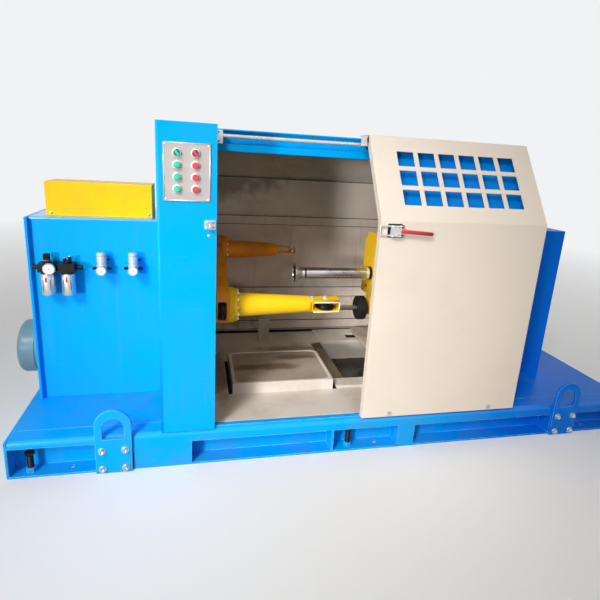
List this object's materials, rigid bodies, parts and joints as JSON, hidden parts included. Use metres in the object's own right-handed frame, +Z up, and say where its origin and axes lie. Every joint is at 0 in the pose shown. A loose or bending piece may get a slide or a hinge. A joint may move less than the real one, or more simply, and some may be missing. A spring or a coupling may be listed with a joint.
{
  "type": "single twist bunching machine",
  "caption": "Single twist bunching machine: sheet-metal bay with a sliding door, a flyer rotor and a traversing take-up spindle on a welded base.",
  "frame": {"origin": "on the floor under the middle of the base, on the underside of the middle cross member", "axes": "+X along the rotor axis from the drive end to the take-up end, -Y towards the operator, +Z up"},
  "size_m": [2.824, 1.169, 1.293],
  "materials": {
    "blue_paint": "gloss",
    "cream_paint": "satin",
    "yellow_paint": "gloss",
    "beige_paint": "satin",
    "grey_paint": "satin",
    "bright_steel": "zinc plated",
    "black_steel": "blackened",
    "chrome": "polished",
    "rubber": "matte",
    "black_plastic": "satin",
    "cast_aluminium": "satin",
    "button_plastic": "gloss"
  },
  "bodies": {
    "frame": {"front_beam": "blue_paint", "rear_beam": "blue_paint", "left_end_plate": "blue_paint", "right_end_plate": "blue_paint", "cross_members": "blue_paint", "deck": "blue_paint", "levelling_screws": "black_steel", "lifting_lug_front_left": "blue_paint", "lifting_lug_front_right": "blue_paint", "lifting_lug_rear_left": "blue_paint", "lifting_lug_rear_right": "blue_paint", "lug_bolts": "bright_steel", "cabinet_end_plate": "blue_paint", "cabinet_cover": "blue_paint", "belt_guard": "yellow_paint", "main_motor": "grey_paint", "wire_inlet": "bright_steel", "column_front": "blue_paint", "column_shell": "blue_paint", "headstock_wall": "beige_paint", "rotor_housing": "blue_paint", "button_panel": "bright_steel", "push_buttons": "button_plastic", "latch_catch": "bright_steel", "bay_floor": "beige_paint", "loading_pit": "beige_paint", "lift_platform": "beige_paint", "bobbin_flap": "beige_paint", "carriage_guides": "beige_paint", "sensor_post": "beige_paint", "door_track": "blue_paint", "back_liner": "beige_paint", "rear_cover": "blue_paint", "roof_panel": "blue_paint", "front_top_beam": "blue_paint", "rear_top_beam": "blue_paint", "door_rail": "bright_steel", "right_end_wall": "blue_paint", "fixed_front_panel": "blue_paint", "tail_cabinet": "blue_paint", "filter_regulator": "black_plastic", "pressure_regulators": "cast_aluminium"},
    "door": {"sliding_door": "cream_paint", "door_rollers": "bright_steel", "door_hangers": "bright_steel", "door_latch": "bright_steel"},
    "rotor": {"rotor_hub": "yellow_paint", "front_flyer_arm": "yellow_paint", "rear_flyer_arm": "yellow_paint", "front_fork": "yellow_paint", "rear_fork": "yellow_paint"},
    "flyer_pulley": {"guide_pulley": "black_plastic"},
    "flyer_roller": {"guide_roller": "bright_steel"},
    "carriage": {"takeup_carriage": "beige_paint"},
    "spindle": {"takeup_spindle": "chrome", "driver_plate": "yellow_paint", "drive_pin": "bright_steel", "rubber_buffer": "rubber"}
  },
  "joints": [
    {"name": "door_slide", "type": "slide", "parent": "frame", "child": "door", "axis": [-1, 0, 0], "range_m": [0, 0.595]},
    {"name": "rotor_spin", "type": "hinge", "parent": "frame", "child": "rotor", "pos_m": [-0.61, 0, 0.638], "axis": [1, 0, 0], "continuous": true},
    {"name": "pulley_spin", "type": "hinge", "parent": "rotor", "child": "flyer_pulley", "pos_m": [-0.148, -0.3456, 0.58943], "axis": [0, 0.1392, -0.9903], "continuous": true},
    {"name": "roller_spin", "type": "hinge", "parent": "rotor", "child": "flyer_roller", "pos_m": [-0.158, 0.3456, 0.68657], "axis": [0, 0.1392, -0.9903], "continuous": true},
    {"name": "carriage_traverse", "type": "slide", "parent": "frame", "child": "carriage", "axis": [1, 0, 0], "range_m": [-0.25, 0.05]},
    {"name": "spindle_spin", "type": "hinge", "parent": "carriage", "child": "spindle", "pos_m": [0.34, 0, 0.638], "axis": [1, 0, 0], "continuous": true}
  ]
}
